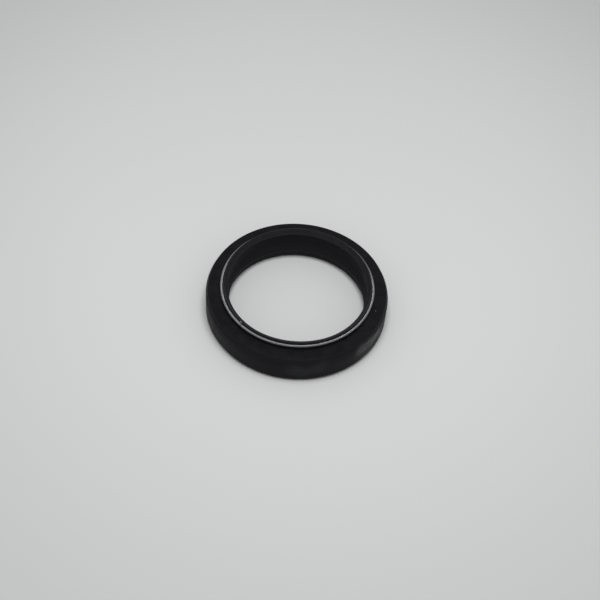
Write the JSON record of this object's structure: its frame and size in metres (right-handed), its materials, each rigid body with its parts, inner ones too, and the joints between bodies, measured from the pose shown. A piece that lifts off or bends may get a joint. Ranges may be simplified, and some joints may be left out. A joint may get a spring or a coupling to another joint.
{
  "type": "fork seal",
  "caption": "Shaft seal for a telescopic fork: a rubber ring moulded on a steel case, with a raised wiper lip, an oil lip below it and garter springs round the lips.",
  "frame": {"origin": "middle of the bottom face, on the seal's axis", "axes": "+Z along the seal's axis, out of the oil side and towards the wiper lip; X and Y are alike, and a mould notch in the foot lies on +X"},
  "size_m": [0.055, 0.055, 0.012],
  "materials": {
    "seal_rubber": "fine matt black nitrile rubber, slightly sheened where it was moulded against polished steel",
    "case_steel": "dull phosphated pressed steel",
    "spring_steel": "bright drawn spring wire"
  },
  "bodies": {
    "root": {"seal_body": "seal_rubber", "steel_case": "case_steel", "wiper_spring": "spring_steel", "oil_spring": "spring_steel"}
  },
  "joints": []
}
